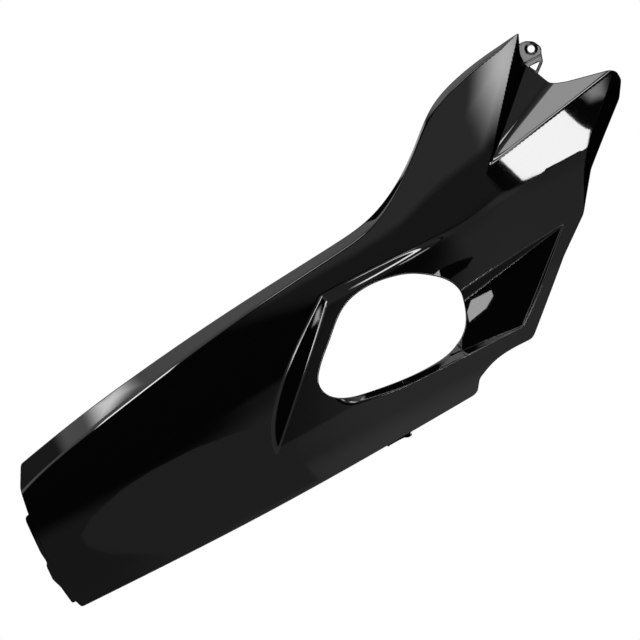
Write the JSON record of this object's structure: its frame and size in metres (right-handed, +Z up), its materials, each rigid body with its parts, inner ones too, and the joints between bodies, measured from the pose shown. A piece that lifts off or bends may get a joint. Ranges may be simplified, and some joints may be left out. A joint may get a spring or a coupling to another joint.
{
  "type": "scooter side panel",
  "caption": "Glossy moulded side fairing panel for a scooter: crowned face, V-shaped channel, stepped pocket round a large opening, lipped end and a rear fixing tab",
  "frame": {"origin": "centre of the screw hole in the fixing tab, on the tab's outer side", "axes": "+X along the straight lower edge from the wide lipped end to the notched end, -Y out of the outer face, +Z up from the lower edge"},
  "size_m": [0.7118, 0.0567, 0.2917],
  "materials": {
    "gloss_black": "high-gloss black moulded plastic"
  },
  "bodies": {
    "root": {"side_panel": "gloss_black"}
  },
  "joints": []
}
